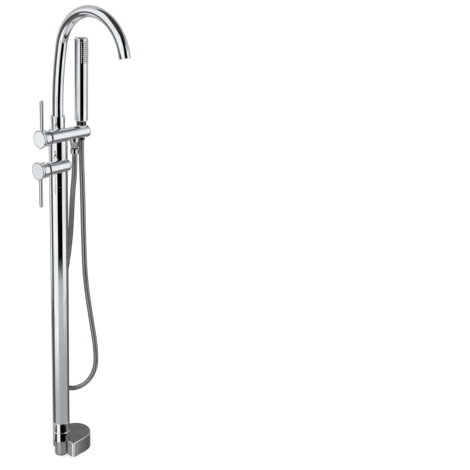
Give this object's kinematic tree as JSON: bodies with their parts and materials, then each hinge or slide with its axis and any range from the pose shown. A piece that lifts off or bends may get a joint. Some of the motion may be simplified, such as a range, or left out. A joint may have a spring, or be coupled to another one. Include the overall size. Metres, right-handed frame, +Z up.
{
  "type": "floor-standing bath filler",
  "caption": "Chromed floor-standing bathtub faucet: slim column, swivelling gooseneck spout, lever mixer, lever diverter and a stick hand shower on a ribbed hose.",
  "frame": {"origin": "on the floor, on the column's axis, in the middle of the standpipe's foot", "axes": "+Z up the column, +X the way the spout points at rest, +Y along the cross bars from the knobs to the hand shower"},
  "size_m": [0.2591, 0.1626, 1.0602],
  "materials": {
    "chrome": "polished chrome plate",
    "neck_chrome": "chrome, a little duller",
    "hose_chrome": "chromed ribbed hose",
    "steel": "stainless steel",
    "brass": "turned brass",
    "cartridge_plastic": "moulded",
    "cradle_plastic": "moulded",
    "seal_rubber": "soft black",
    "spray_rubber": "pale grey silicone"
  },
  "bodies": {
    "column": {"floor_plate": "steel", "base_cover": "chrome", "standpipe": "neck_chrome", "base_screws": "steel", "inlet_block": "brass", "hot_pipe": "brass", "cold_pipe": "brass", "lower_collar": "chrome", "upper_collar": "chrome", "collar_screw": "steel", "column_bush": "cartridge_plastic", "column_tube": "chrome", "valve_body": "chrome", "spout_socket": "chrome", "socket_screw": "steel", "mixer_cartridge": "cartridge_plastic", "mixer_nut": "brass", "diverter_cartridge": "cartridge_plastic", "diverter_nut": "brass", "outlet_nipple": "chrome", "outlet_washer": "seal_rubber", "outlet_nut": "chrome", "cradle_bush": "cradle_plastic", "hose": "hose_chrome"},
    "spout": {"spout_tube": "chrome", "spout_spigot": "brass", "spout_orings": "seal_rubber", "aerator_housing": "cartridge_plastic", "aerator_screen": "steel"},
    "mixer_turner": {"mixer_carrier": "brass", "mixer_pin": "steel"},
    "mixer_handle": {"mixer_stem": "brass", "mixer_knob": "chrome", "mixer_cap": "chrome", "mixer_lever": "chrome", "mixer_screw": "steel"},
    "diverter_handle": {"diverter_stem": "brass", "diverter_knob": "chrome", "diverter_cap": "chrome", "diverter_lever": "chrome", "diverter_screw": "steel"},
    "hand_shower": {"hand_nut": "chrome", "hand_washer": "seal_rubber", "hand_tail": "chrome", "hand_tube": "chrome", "spray_pad": "spray_rubber", "hand_cap": "chrome", "hand_core": "cartridge_plastic"}
  },
  "joints": [
    {"name": "spout_swivel", "type": "hinge", "parent": "column", "child": "spout", "pos_m": [0, 0, 0.826], "axis": [0, 0, 1], "range_deg": [-90, 30]},
    {"name": "mixer_turn", "type": "hinge", "parent": "column", "child": "mixer_turner", "pos_m": [0.02, -0.0435, 0.7887], "axis": [0, 1, 0], "range_deg": [-45, 45]},
    {"name": "mixer_tilt", "type": "hinge", "parent": "mixer_turner", "child": "mixer_handle", "pos_m": [0.02, -0.036, 0.7887], "axis": [1, 0, 0], "range_deg": [0, 20]},
    {"name": "diverter_turn", "type": "hinge", "parent": "column", "child": "diverter_handle", "pos_m": [0.02, -0.049, 0.7226], "axis": [0, 1, 0], "range_deg": [-90, 0]},
    {"name": "hand_lift", "type": "slide", "parent": "column", "child": "hand_shower", "axis": [0, 0, 1], "range_m": [0, 0.04], "deforming": ["hose"]}
  ]
}
